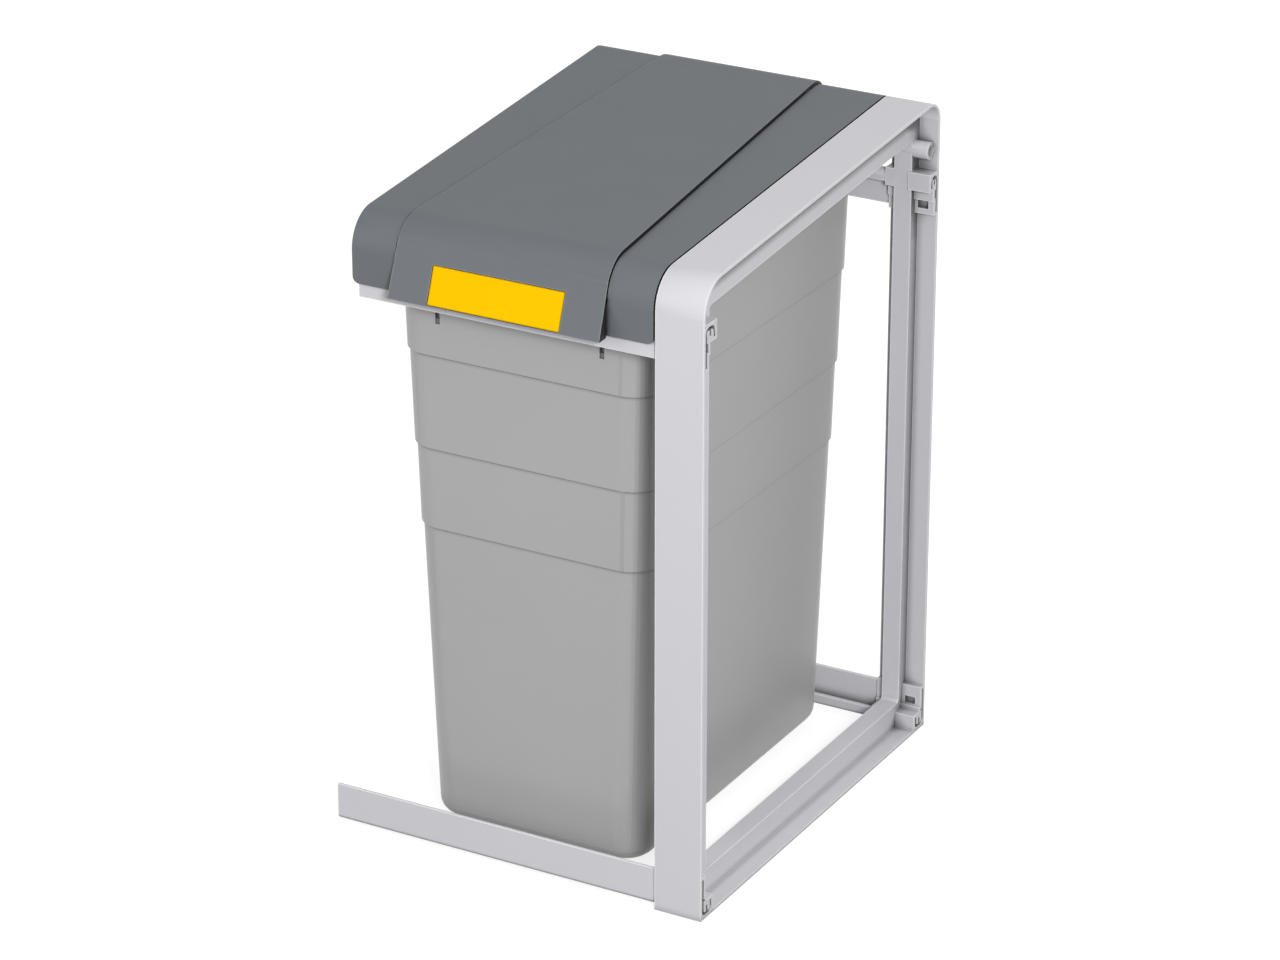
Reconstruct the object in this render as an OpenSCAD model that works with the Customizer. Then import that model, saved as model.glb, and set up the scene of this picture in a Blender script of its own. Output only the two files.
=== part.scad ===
// Add-on module of a waste sorting row: a side frame that stands on the floor, four crossbars,
// a bucket that hangs on the upper bars, and a hinged cover with its own flap.
// Millimetres, Z up. The origin is the centre of the side frame's base face on the floor.
// Inside the file, X runs from the left edge of the side frame, Y from its front face.

/* [Side frame] */
// Depth of the frame, front to rear
frame_depth = 495; // [470:1:540]
// Height at the front face, where the sloping top would meet it
front_height = 665; // [640:1:700]
// Slope of the top, rising to the rear, in degrees
top_slope = 4.4; // [2:0.1:7]
// Width of the outer band
band_w = 52; // [48:1:64]
// Wall of the outer band
band_t = 2.8; // [2.4:0.1:3.4]
// Radius over the front edge
front_r = 37; // [28:1:44]
// Radius over the rear edge
rear_r = 22; // [18:1:24]
// Depth of the front post
front_post = 49.5; // [44:0.5:60]
// Depth of the rear post
rear_post = 18.5; // [18:0.5:20]
// Height of the bottom rail
bottom_rail = 29; // [26:0.5:34]
// Height of the top rail, square to its slope
top_rail = 43; // [40:0.5:46]
// Corner radius of the window inside the ring
window_r = 4; // [2:0.5:8]
// Distance from the band's left edge to the inner wall
inner_wall_x = 10.5; // [8:0.5:14]
// Distance from the band's left edge to the outer face of the web
web_x = 30.4; // [28:0.2:34]
// Wall of the web and of the inner wall
web_t = 3; // [2.4:0.1:3.6]
// Thickness of the stiffening ribs in the channel
rib_t = 1.8; // [1.2:0.1:2.4]
// Largest distance between those ribs
rib_pitch = 62; // [45:1:90]
// Distance from the inner wall's left edge to the ribs
rib_setback = 3.5; // [2:0.5:6]

/* [Crossbars] */
// Height of a crossbar
bar_h = 40; // [36:0.5:44]
// Depth of a crossbar over its trough
bar_d = 18.5; // [17:0.5:20]
// Depth of the rear upper crossbar, which is narrower to clear the post
narrow_bar_d = 14.5; // [14:0.5:16]
// Wall of a crossbar
bar_t = 3.2; // [2.2:0.1:3.4]
// Height of a crossbar's inner lip
lip_h = 12.5; // [10:0.5:15]
// Outer radius of the trough's corners on the lower crossbars
trough_r = 5; // [4:0.5:6]
// The same radius on the upper crossbars, whose trough is turned over
arch_r = 7; // [5:0.5:7]
// Distance from the web's outer face to the middle leg
leg_u = 7.6; // [7:0.1:8]
// Height of the middle leg
leg_h = 9.5; // [7:0.5:12]
// Underside of the lower crossbars above the floor
lower_bar_z = 4; // [3.5:0.5:8]
// Depth of the upper crossbars' top below the front height
upper_bar_top = 42.5; // [39:0.5:65]
// Length that the lower crossbars run on past the cover, into the next frame
plug_len = 37; // [30:1:40]
// Distance from the cover's left side to the end of the upper crossbars
upper_bar_inset = 5; // [3:0.5:12]
// Length of a crossbar inside the frame
bar_engagement = 12; // [8:0.5:14]
// Height of the snap nub on a plug
nub_rise = 1.6; // [1:0.1:2]

/* [Sockets] */
// Clearance round a crossbar in its socket
bar_fit = 0.2; // [0.1:0.05:0.4]
// Wall of a socket
socket_wall = 3; // [2:0.1:3.2]
// Thickness of the stop between the two bars that share a socket
stop_t = 3; // [2:0.5:5]
// Distance from the band's left edge to the sockets' left faces
socket_x = 0.6; // [0.4:0.1:3]
// Extra width of a socket's mouth beside the bar's web, where the snap nub leads in
relief_t = 2.3; // [1.5:0.1:3]
// Height over the trough to which that extra width reaches in the lower sockets
lower_relief_v = 18; // [17:0.5:18.5]
// Height from the trough to which it reaches in the upper sockets
upper_relief_v = 25; // [18:0.5:25.5]
// Length of the latch window
latch_len = 12; // [8:0.5:14]
// Height of the latch window
latch_h = 8.5; // [6:0.5:10]
// Distance from the band's right edge to the latch window
latch_inset = 6.5; // [4:0.5:9]
// Height of the latch window's centre over the trough of the lower sockets
lower_latch_v = 26; // [22:0.5:32]
// Height of the latch window's centre from the trough of the upper sockets
upper_latch_v = 33; // [24:0.5:34]

/* [Cover] */
// Width of the cover
cover_w = 332; // [310:1:400]
// Gap between the cover and the side frame
cover_gap = 2; // [0.8:0.1:3]
// Wall of the cover
cover_t = 2.4; // [2:0.1:2.6]
// Depth of the cover's lower front edge below the front height
cover_front_z = 68; // [59:0.5:77]
// Depth of the top of the low rail behind the flap's lip, below the front height
front_rail_top = 37; // [33:0.5:43]
// Radius of the cover's lower front corners
cover_corner_r = 7; // [4:0.5:10]
// Depth of the cover's side walls
side_wall_h = 28; // [20:0.5:30]
// Depth of the walls round the throw-in opening
coaming_h = 10; // [9:0.5:11]
// Width of the ledge that the flap rests over
ledge_w = 8; // [5:0.5:12]
// Depth of the coaming's lowest edge below the front height
coaming_z = 17; // [13:0.5:19]
// Distance between the ribs under the side strips
strip_rib_pitch = 64; // [45:1:90]
// Height of those ribs
strip_rib_h = 6; // [4:0.5:8]

/* [Cover hinge] */
// Distance from the rear face to the cover's axis
cover_axis_inset = 10; // [9.5:0.5:14]
// Depth of the cover's axis below the front height
cover_axis_z = 17; // [11:0.5:23]
// Radius of the cover pins where they turn
cover_pin_r = 6; // [4:0.1:6.5]
// Radius of the cover pins inside the cover
pin_root_r = 5; // [3:0.1:5.5]
// Chamfer at the end of a cover pin
pin_chamfer = 0.5; // [0.3:0.1:1]
// Running clearance of the cover pins
pin_fit = 0.05; // [0.02:0.01:0.1]
// Wall round a pin's bore in the side frame
boss_wall = 3; // [2.4:0.1:3]
// Distance from the band's right edge to the boss
boss_inset = 5; // [3:0.5:8]
// Depth of each pin bore in the side frame
pin_bore_depth = 20; // [15:0.5:21]
// Length of a pin inside the cover
pin_root = 10; // [8:0.5:10.5]
// Length of the cover's inner pin boss
inner_boss_len = 8.6; // [6:0.1:9]
// Gap at each end of a pin's turning part
pin_end_gap = 0.6; // [0.3:0.1:2]
// Gap between a pin's shoulder and the cover
shoulder_gap = 0.1; // [0.05:0.05:0.3]

/* [Flap] */
// Half-width of the flap at the frame's front face
flap_half_front = 115.9; // [100:0.1:125]
// Half-width of the flap where its sides would meet the rear face
flap_half_rear = 87.4; // [80:0.1:100]
// Height of the flap over the cover's strips
flap_rise = 3; // [2.8:0.1:5]
// Wall of the flap
flap_t = 2.4; // [1.8:0.1:2.4]
// Seam between the flap and the cover
flap_seam = 1.2; // [0.8:0.1:2]
// Distance that the lip's lower edge stands in front of the frame
lip_out = 16; // [10:0.5:22]
// Depth of the lip's lower edge below the front height
lip_z = 70; // [63:0.5:77]
// Lean of the lip, in degrees from the vertical
lip_lean = 20; // [16:0.5:24]
// Gap between the flap's skirts and the ledge below them
ledge_gap = 0.5; // [0.3:0.1:1.5]
// Wall of the flap's skirts and ledge
skirt_t = 2; // [1.4:0.1:2.4]
// Radius of the flap pins
flap_pin_r = 3; // [2:0.1:4]
// Radius of the ears and lugs round the flap pins
ear_r = 8; // [6.5:0.5:9]
// Gap between the cheeks at the lip's sides and the cover's front
cheek_gap = 0.8; // [0.4:0.1:2]
// Thickness of the ears and lugs
ear_t = 4; // [3:0.5:5]
// Clearance round the flap's rolling tail
tail_gap = 1; // [0.6:0.1:1.4]
// How far the tail wraps round below its axis, in degrees
tail_wrap = 32; // [25:1:40]

/* [Label] */
// Width of the label strip
label_w = 145; // [120:1:160]
// Height of the label strip along the lip
label_h = 38.5; // [30:0.5:39]
// Thickness of the label strip
label_t = 0.8; // [0.5:0.1:1]
// Depth of the label's recess in the lip
label_recess = 1; // [0.6:0.1:1.2]
// Gap round the label in its recess
label_gap = 0.6; // [0.3:0.1:1]
// Distance from the lip's lower edge to the label
label_edge = 2; // [1.5:0.1:3]

/* [Bucket] */
// Width of the bucket under its rim
bucket_w = 288.8; // [280:0.2:292]
// Distance from the frame's front face to the bucket's front under the rim
bucket_front = 32.5; // [30:0.5:36]
// Distance from the frame's rear face to the bucket's rear under the rim
bucket_rear = 26.5; // [24:0.5:30]
// Lean of the bucket's sides, in degrees
side_lean = 1.52; // [1:0.02:1.8]
// Lean of the bucket's front and rear, in degrees
front_lean = 0.9; // [0.5:0.05:1.4]
// Width of the ledge between two tiers, at the sides
step_side = 1.25; // [0.8:0.05:2]
// Width of that ledge, at the front and rear
step_front = 2.3; // [1:0.1:3]
// Depth of the upper ledge below the upper crossbars' top
upper_ledge_z = 100.5; // [62:0.5:123]
// Depth of the middle ledge below the upper crossbars' top
middle_ledge_z = 201; // [162:0.5:223]
// Depth of the lower ledge below the upper crossbars' top
lower_ledge_z = 287.5; // [242:0.5:323]
// Width of the bucket at its bottom, sharp edges
bottom_w = 246; // [225:1:250]
// Depth of the bucket at its bottom, sharp edges
bottom_d = 403; // [390:1:410]
// Underside of the bucket above the floor
bucket_z = 8.5; // [5:0.5:60]
// Radius of the upright corners
bucket_r = 33; // [28:1:40]
// Radius round the bottom edge
bottom_r = 18; // [8:1:24]
// Wall of the bucket
bucket_t = 2.5; // [2:0.1:3.2]
// Thickness of the rim flange
rim_t = 3; // [2:0.1:4]
// Height of the bead over the rim flange
bead_h = 2.4; // [1:0.1:3]
// Gap from the rim flange to the insides of the cover
rim_gap = 11; // [10.5:0.5:14]
// Distance from the frame's front face to the rim's front edge
rim_front = 8; // [7:0.5:10]
// Distance from the frame's rear face to the rim's rear edge
rim_rear = 8; // [8:0.5:10]
// Gap between the rim flange and the bars at rest
rim_seat = 0.1; // [0.05:0.01:0.3]
// Distance from the bucket's centre line to each slot in its front
slot_offset = 91.5; // [70:0.5:110]
// Width of those slots
slot_w = 5; // [4.4:0.1:7]
// Depth of those slots' lower end below the upper crossbars' top
slot_z = 65.5; // [47:0.5:78]
// Length of those slots
slot_len = 43; // [36:1:50]

/* [Bag clamp frame] */
// Gap between the clamp frame and the bucket's inside
clamp_gap = 1; // [0.6:0.1:2]
// Wall of the clamp frame
clamp_t = 2; // [1.5:0.1:3]
// Depth of the clamp frame below the rim
clamp_h = 14; // [10:0.5:18]
// Width of the clamp frame's flange over the rim
clamp_flange = 5; // [4:0.5:7]
// Width of a tongue
tongue_w = 4.2; // [3:0.1:4.2]
// Gap between a tongue's end and the lower end of its slot
tongue_gap = 0.5; // [0.3:0.1:2]
// Depth of a tongue's hook behind the outer face of the bucket's wall
hook_recess = 0.6; // [0.2:0.1:1.5]
// Height of the hook at a tongue's end
hook_h = 5; // [3:0.5:6]

/* [Buffers] */
// Radius of a rubber buffer
buffer_r = 2.8; // [2:0.1:3]
// Height of a rubber buffer
buffer_h = 2.4; // [1.5:0.1:4]
// Gap between a buffer and the bar at rest
buffer_gap = 0.2; // [0.1:0.05:0.5]

/* [Hidden] */
$fn = 96;

frame_colour = [0.81, 0.80, 0.83];
cover_colour = [0.44, 0.45, 0.47];
bucket_colour = [0.63, 0.63, 0.63];
label_colour = [1.0, 0.80, 0.0];
pin_colour = [0.75, 0.75, 0.77];
rubber_colour = [0.12, 0.12, 0.12];

// Allowance by which a cut runs past a face, and a joined piece runs into its wall
over = 1;
joint = 0.4;
// Extra radius with which an arc crosses its straight neighbours, so that they meet in a point
arc_over = 0.002;
// The flap's hollow runs past the end of its tail by as many degrees
hollow_wrap = 5;
// Segments in a quarter turn of the bucket's corners and of its bottom edge
corner_steps = 12;
edge_steps = 6;

cover_right = -cover_gap;
cover_left = cover_right - cover_w;
centre_x = (cover_left + cover_right) / 2;
bars_top = front_height - upper_bar_top;
cover_edge = front_height - cover_front_z;
rail_top = front_height - front_rail_top;
coaming_edge = front_height - coaming_z;
hinge_z = front_height - cover_axis_z;
lip_edge = front_height - lip_z;
web_left = web_x - web_t;

// Height of the sloping top at a depth y, moved in by d square to it
function top_z(y, d = 0) = front_height + y * tan(top_slope) - d / cos(top_slope);

cover_axis_y = frame_depth - cover_axis_inset;
flap_axis_y = frame_depth - rear_r;
flap_axis_z = top_z(flap_axis_y, rear_r);
tail_r = rear_r + flap_rise;
boss_r = cover_pin_r + pin_fit + boss_wall;
boss_end = band_w - boss_inset;
bottom_of_strip_z = flap_axis_z - tail_r - tail_gap - cover_t;

// Half-width of the flap at a depth y
function flap_half(y) = flap_half_front + (flap_half_rear - flap_half_front) * y / frame_depth;

// Where the lip's outer line is at a height z, moved in by d
function lip_y(z, d = 0) = -lip_out + (z - lip_edge) * tan(lip_lean) + d / cos(lip_lean);

// Height at which the lip's line meets the flap's top, both moved in by d
function flap_corner_z(d) =
    (top_z(lip_y(0, d), d - flap_rise)) / (1 - tan(top_slope) * tan(lip_lean));

function unit(v) = v / norm(v);

// Places a piece drawn from the frame's lower front left corner in the part's own frame
module placed() {
    translate([-band_w / 2, -frame_depth / 2, 0]) children();
}

// Extrudes a side view, drawn in Y and Z, along X
module along_x(x0, x1) {
    translate([x0, 0, 0])
        rotate([90, 0, 90])
            linear_extrude(x1 - x0) children();
}

// Box from one corner to the opposite one
module box(from, to) {
    translate(from) cube(to - from);
}

module rect(from, to) {
    translate(from) square(to - from);
}

// The corner of an outline that its round takes away
module corner_waste(before, corner, after, r) {
    a = unit(before - corner);
    b = unit(after - corner);
    half = acos(a * b) / 2;
    inward = unit(a + b);
    centre = corner + inward * r / sin(half);
    difference() {
        polygon([corner - inward, corner + a * r / tan(half), centre, corner + b * r / tan(half)]);
        translate(centre) circle(r + arc_over);
    }
}

// Straight-sided outline with an arc of its own radius at each corner
module rounded_outline(points, radii) {
    n = len(points);
    difference() {
        polygon(points);
        for (i = [0 : n - 1])
            if (radii[i] > 0)
                corner_waste(points[(i + n - 1) % n], points[i], points[(i + 1) % n], radii[i]);
    }
}

// Side view of the frame's outer shape, moved in by d all round
module frame_outline(d = 0) {
    rounded_outline(
        [
            [d, d],
            [frame_depth - d, d],
            [frame_depth - d, top_z(frame_depth - d, d)],
            [d, top_z(d, d)]
        ],
        [0, 0, rear_r - d, front_r - d]
    );
}

// Side view of the window in the ring, made smaller by d all round
module window_outline(d = 0) {
    rear = frame_depth - rear_post - d;
    rounded_outline(
        [
            [front_post + d, bottom_rail + d],
            [rear, bottom_rail + d],
            [rear, top_z(rear, top_rail + d)],
            [front_post + d, top_z(front_post + d, top_rail + d)]
        ],
        [for (i = [0 : 3]) window_r - d]
    );
}

// Side view of the channel between the outer band and the inner wall
module channel_outline(d = 0) {
    difference() {
        frame_outline(band_t - d);
        window_outline(-web_t + d);
    }
}

// Cross ribs of the channel, at even steps along each side of the ring
module channel_ribs() {
    rows = ceil(front_height / rib_pitch);
    columns = ceil(frame_depth / rib_pitch);
    intersection() {
        channel_outline(joint);
        union() {
            for (i = [1 : rows])
                translate([0, i * front_height / (rows + 0.5)])
                    rect([0, 0], [frame_depth, rib_t]);
            for (i = [1 : columns - 1])
                translate([i * frame_depth / columns, 0])
                    rect([0, 0], [rib_t, front_height + frame_depth]);
        }
    }
}

// Rectangle with two round corners at its foot
module trough_outline(from, to, r) {
    rounded_outline([from, [to.x, from.y], to, [from.x, to.y]], [r, r, 0, 0]);
}

// Section of a crossbar, drawn from its outer face inwards and from its trough upwards,
// made larger by g all round
module bar_section(depth, r, g = 0) {
    leg = leg_u - (bar_d - depth) / 2;
    difference() {
        union() {
            trough_outline([-g, -g], [depth + g, lip_h + g], r + g);
            rect([-g, r], [bar_t + g, bar_h + g]);
        }
        trough_outline([bar_t + g, bar_t + g], [depth - bar_t - g, lip_h + g + over], r - bar_t - g);
    }
    rect([leg - g, bar_t / 2], [leg + bar_t + g, leg_h + g]);
}

// Solid part of a socket's section: a block round the trough and a stepped plate behind the web
module socket_section(depth, foot, relief_v) {
    rect([-bar_fit - joint, -foot - joint], [depth + grip, lip_h + grip]);
    rect([-bar_fit - joint, 0], [bar_t + grip, bar_h + grip]);
    rect([-bar_fit - joint, 0], [bar_t + relief_t + grip, relief_v + socket_wall]);
}

// Puts a section at the front or rear of the frame, trough down or up
module at_corner(rear, upper) {
    y = rear ? frame_depth - band_t - bar_fit : band_t + bar_fit;
    z = upper ? bars_top : lower_bar_z;
    translate([y, z])
        mirror([rear ? 1 : 0, 0])
            mirror([0, upper ? 1 : 0])
                children();
}

function bar_depth(rear, upper) = rear && upper ? narrow_bar_d : bar_d;

// Distance from a crossbar to the far side of its socket's wall
grip = bar_fit + socket_wall;

// Solid of one socket, inside the ring's own outline
module socket_body(rear, upper) {
    depth = bar_depth(rear, upper);
    foot = upper ? socket_wall : lower_bar_z - band_t;
    relief_v = upper ? upper_relief_v : lower_relief_v;
    along_x(socket_x, web_x)
        intersection() {
            difference() {
                frame_outline(joint);
                window_outline();
            }
            at_corner(rear, upper) socket_section(depth, foot, relief_v);
        }
    along_x(web_left, band_w)
        intersection() {
            frame_outline(joint);
            at_corner(rear, upper) socket_section(depth, foot, relief_v);
        }
}

// Passages for the two bars that share a socket, and the window for the snap nub
module socket_passages(rear, upper) {
    latch_v = upper ? upper_latch_v : lower_latch_v;
    relief_v = upper ? upper_relief_v : lower_relief_v;
    mouth_x = bar_engagement + bar_fit + stop_t;
    for (span = [[-over, bar_engagement + bar_fit], [mouth_x, band_w + over]])
        along_x(span[0], span[1])
            at_corner(rear, upper)
                bar_section(bar_depth(rear, upper), upper ? arch_r : trough_r, bar_fit);
    along_x(mouth_x, band_w + over)
        at_corner(rear, upper)
            rect([bar_t, lip_h + grip], [bar_t + bar_fit + relief_t, relief_v]);
    along_x(band_w - latch_inset - latch_len, band_w - latch_inset)
        at_corner(rear, upper)
            rect(
                [bar_t, latch_v - latch_h / 2],
                [bar_t + relief_t + grip + over, latch_v + latch_h / 2]
            );
}

// Bearing boss for the cover pins, solid
module boss_solid() {
    along_x(socket_x, boss_end) {
        translate([cover_axis_y, hinge_z]) circle(boss_r);
        rect(
            [cover_axis_y, hinge_z - rib_t / 2],
            [frame_depth - joint, hinge_z + rib_t / 2]
        );
    }
}

module pin_bores() {
    for (span = [[-over, socket_x + pin_bore_depth], [boss_end - pin_bore_depth, boss_end + over]])
        along_x(span[0], span[1])
            translate([cover_axis_y, hinge_z]) circle(cover_pin_r + pin_fit);
}

module side_frame() {
    color(frame_colour)
        placed()
            difference() {
                union() {
                    along_x(0, band_w)
                        difference() {
                            frame_outline();
                            frame_outline(band_t);
                        }
                    along_x(web_left, web_x)
                        difference() {
                            frame_outline(joint);
                            window_outline();
                        }
                    along_x(inner_wall_x, web_x)
                        difference() {
                            window_outline(-web_t);
                            window_outline();
                        }
                    along_x(inner_wall_x + rib_setback, web_left + joint) channel_ribs();
                    for (rear = [false, true])
                        for (upper = [false, true])
                            socket_body(rear, upper);
                    boss_solid();
                }
                for (rear = [false, true])
                    for (upper = [false, true])
                        socket_passages(rear, upper);
                pin_bores();
            }
}

// Snap nub near the free end of a lower bar, a wedge that rises away from the end
module snap_nub(rear) {
    nub_x = cover_left - cover_gap - latch_inset - latch_len;
    y = rear ? frame_depth - band_t - bar_fit - bar_t : band_t + bar_fit + bar_t;
    translate([nub_x, y, lower_bar_z + lower_latch_v])
        mirror([0, rear ? 1 : 0, 0])
            translate([0, 0, -latch_h / 2 + bar_fit])
                linear_extrude(latch_h - 2 * bar_fit)
                    polygon([
                        [bar_fit, -joint],
                        [latch_len - bar_fit, -joint],
                        [latch_len - bar_fit, nub_rise],
                        [latch_len - bar_fit - nub_rise, nub_rise]
                    ]);
}

module crossbar(rear, upper) {
    left = upper ? cover_left + upper_bar_inset : cover_left - plug_len;
    color(frame_colour)
        placed() {
            along_x(left, bar_engagement)
                at_corner(rear, upper)
                    bar_section(bar_depth(rear, upper), upper ? arch_r : trough_r);
            if (!upper) snap_nub(rear);
        }
}

module front_lower_crossbar() {
    crossbar(false, false);
}

module rear_lower_crossbar() {
    crossbar(true, false);
}

module front_upper_crossbar() {
    crossbar(false, true);
}

module rear_upper_crossbar() {
    crossbar(true, true);
}

// Plan view of the throw-in opening, made wider by g on each side
module opening_plan(g = 0) {
    half_front = flap_half(0) + flap_seam + g;
    tail_y = flap_axis_y - tail_r - tail_gap;
    half_tail = flap_half(tail_y) + flap_seam + g;
    translate([centre_x, 0]) {
        polygon([
            [-half_front, -over],
            [half_front, -over],
            [half_tail, tail_y],
            [-half_tail, tail_y]
        ]);
    }
}

// Half-width of the opening behind its tapered part
tail_half = flap_half(flap_axis_y - tail_r - tail_gap) + flap_seam;

// Cover in side view: a thin skin that follows the frame, moved in from a to b
module cover_skin(a, b) {
    difference() {
        frame_outline(a);
        frame_outline(b);
    }
}

// Everything above the flap's swept tail and the rail at the front
module opening_cut() {
    translate([0, 0, rail_top])
        linear_extrude(front_height + frame_depth)
            opening_plan();
    along_x(centre_x - tail_half, centre_x + tail_half) {
        translate([flap_axis_y, flap_axis_z]) circle(tail_r + tail_gap);
        rect([flap_axis_y - tail_r - tail_gap, flap_axis_z], [frame_depth + over, 2 * front_height]);
    }
}

// Walls round the opening and the ledge inside them, clear of the bucket's rim
module coaming() {
    tail_y = flap_axis_y - tail_r - tail_gap;
    intersection() {
        linear_extrude(2 * front_height)
            difference() {
                opening_plan(skirt_t);
                opening_plan();
            }
        along_x(cover_left, cover_right)
            intersection() {
                cover_skin(joint, coaming_h);
                rect([0, coaming_edge], [tail_y, 2 * front_height]);
            }
    }
    intersection() {
        linear_extrude(2 * front_height)
            difference() {
                opening_plan(joint);
                opening_plan(-ledge_w);
            }
        along_x(cover_left, cover_right)
            intersection() {
                cover_skin(coaming_h - skirt_t, coaming_h);
                rect([0, coaming_edge], [tail_y, 2 * front_height]);
            }
    }
}

// Gutter under the flap's tail, which joins the two side strips at the rear
module rear_gutter() {
    outer = tail_r + tail_gap + cover_t;
    along_x(centre_x - tail_half - skirt_t, centre_x + tail_half + skirt_t)
        difference() {
            intersection() {
                translate([flap_axis_y, flap_axis_z]) circle(outer);
                rect([flap_axis_y - ear_r, flap_axis_z - outer], [frame_depth, flap_axis_z - rear_r / 2]);
            }
            translate([flap_axis_y, flap_axis_z]) circle(tail_r + tail_gap);
        }
}

// Ribs under the side strips
module strip_ribs() {
    columns = ceil(flap_axis_y / strip_rib_pitch);
    difference() {
        intersection() {
            for (i = [1 : columns - 1])
                let (y = i * flap_axis_y / columns)
                    box(
                        [cover_left + joint, y, coaming_edge],
                        [cover_right - joint, y + rib_t, 2 * front_height]
                    );
            along_x(cover_left, cover_right) cover_skin(joint, cover_t + strip_rib_h);
        }
        linear_extrude(2 * front_height) opening_plan(joint);
        linear_extrude(2 * front_height)
            rect([centre_x - tail_half, 0], [centre_x + tail_half, frame_depth]);
    }
}

// Side wall of the cover with its hinge cheek, in side view
module side_wall_outline() {
    intersection() {
        cover_skin(joint, side_wall_h);
        rect([0, hinge_z - cover_axis_inset], [frame_depth, 2 * front_height]);
        polygon([
            [0, top_z(0, side_wall_h)],
            [frame_depth, top_z(frame_depth, side_wall_h + rear_r)],
            [frame_depth, 2 * front_height],
            [0, 2 * front_height]
        ]);
    }
    translate([cover_axis_y, hinge_z]) circle(cover_axis_inset);
    rect(
        [cover_axis_y - cover_axis_inset, hinge_z],
        [cover_axis_y + cover_axis_inset - joint, top_z(cover_axis_y, rear_r)]
    );
}

// A landing for the buffer at each side of the cover, over the front upper bar
module landing(left) {
    x0 = left ? cover_left : cover_right - landing_w;
    wall_x = left ? cover_left : cover_right - cover_t;
    pad_z = bars_top + buffer_gap + buffer_h;
    box(
        [x0, landing_y - buffer_r - over, pad_z],
        [x0 + landing_w, landing_y + buffer_r + over, pad_z + cover_t]
    );
    intersection() {
        union() {
            box(
                [x0, landing_y - rib_t / 2, pad_z],
                [x0 + landing_w, landing_y + rib_t / 2, front_height]
            );
            box(
                [wall_x, landing_y - buffer_r - over, pad_z],
                [wall_x + cover_t, landing_y + buffer_r + over, front_height]
            );
        }
        along_x(cover_left, cover_right) frame_outline(joint);
    }
}

landing_w = upper_bar_inset + 2 * buffer_r + joint;
landing_y = band_t + bar_fit + bar_d / 2;

// Lug that holds a flap pin, hung under a side strip
module flap_lug(side) {
    inner = centre_x + side * (tail_half + skirt_t / 2);
    outer = inner + side * ear_t;
    intersection() {
        along_x(min(inner, outer), max(inner, outer)) {
            translate([flap_axis_y, flap_axis_z]) circle(ear_r);
            rect([flap_axis_y - ear_r, flap_axis_z], [flap_axis_y + ear_r, 2 * front_height]);
        }
        along_x(cover_left, cover_right) frame_outline(joint);
    }
}

// Extrudes a profile about the cover's axis through both of its pin bosses, longer by g
module cover_bosses(g) {
    for (span = [[cover_left, cover_left + inner_boss_end], [cover_right - inner_boss_end, cover_right]])
        along_x(span[0] - g, span[1] + g)
            translate([cover_axis_y, hinge_z]) children();
}

inner_boss_end = cover_t + inner_boss_len;

// Waste that rounds one lower front corner of the cover
module front_corner_waste(x, side) {
    translate([x, -over, cover_edge])
        rotate([90, 0, 0])
            mirror([side > 0 ? 1 : 0, 0, 0])
                translate([0, 0, -2 * over - cover_t])
                    linear_extrude(2 * over + cover_t + over)
                        difference() {
                            rect([-over, -over], [cover_corner_r, cover_corner_r]);
                            translate([cover_corner_r, cover_corner_r]) circle(cover_corner_r);
                        }
}

module cover() {
    color(cover_colour)
        placed()
            difference() {
                union() {
                    difference() {
                        along_x(cover_left, cover_right)
                            intersection() {
                                cover_skin(0, cover_t);
                                union() {
                                    rect([0, cover_edge], [front_r, 2 * front_height]);
                                    rect([0, bottom_of_strip_z], [frame_depth, 2 * front_height]);
                                }
                            }
                        opening_cut();
                    }
                    for (x = [cover_left, cover_right - cover_t])
                        along_x(x, x + cover_t) side_wall_outline();
                    coaming();
                    rear_gutter();
                    strip_ribs();
                    for (left = [false, true]) landing(left);
                    for (side = [-1, 1]) flap_lug(side);
                    cover_bosses(0) circle(boss_r);
                }
                cover_bosses(over) circle(pin_root_r + pin_fit / 2);
                along_x(centre_x - flap_pin_end - joint, centre_x + flap_pin_end + joint)
                    translate([flap_axis_y, flap_axis_z]) circle(flap_pin_r + pin_fit / 2);
                front_corner_waste(cover_left, -1);
                front_corner_waste(cover_right, 1);
            }
}

// Shouldered pin of the cover's hinge, drawn pointing right from the cover's side at x = 0
module cover_pin(reach) {
    rotate([0, 90, 0]) {
        translate([0, 0, -pin_root]) cylinder(r = pin_root_r, h = pin_root + shoulder_gap + joint);
        translate([0, 0, shoulder_gap])
            cylinder(r = cover_pin_r, h = reach - pin_chamfer - shoulder_gap);
        translate([0, 0, reach - pin_chamfer])
            cylinder(r1 = cover_pin_r, r2 = cover_pin_r - pin_chamfer, h = pin_chamfer);
    }
}

module right_cover_pin() {
    color(pin_colour)
        placed()
            translate([cover_right, cover_axis_y, hinge_z])
                cover_pin(cover_gap + socket_x + pin_bore_depth - pin_end_gap);
}

module left_cover_pin() {
    color(pin_colour)
        placed()
            translate([cover_left, cover_axis_y, hinge_z])
                mirror([1, 0, 0])
                    cover_pin(cover_gap + boss_inset + pin_bore_depth - pin_end_gap);
}

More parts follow.
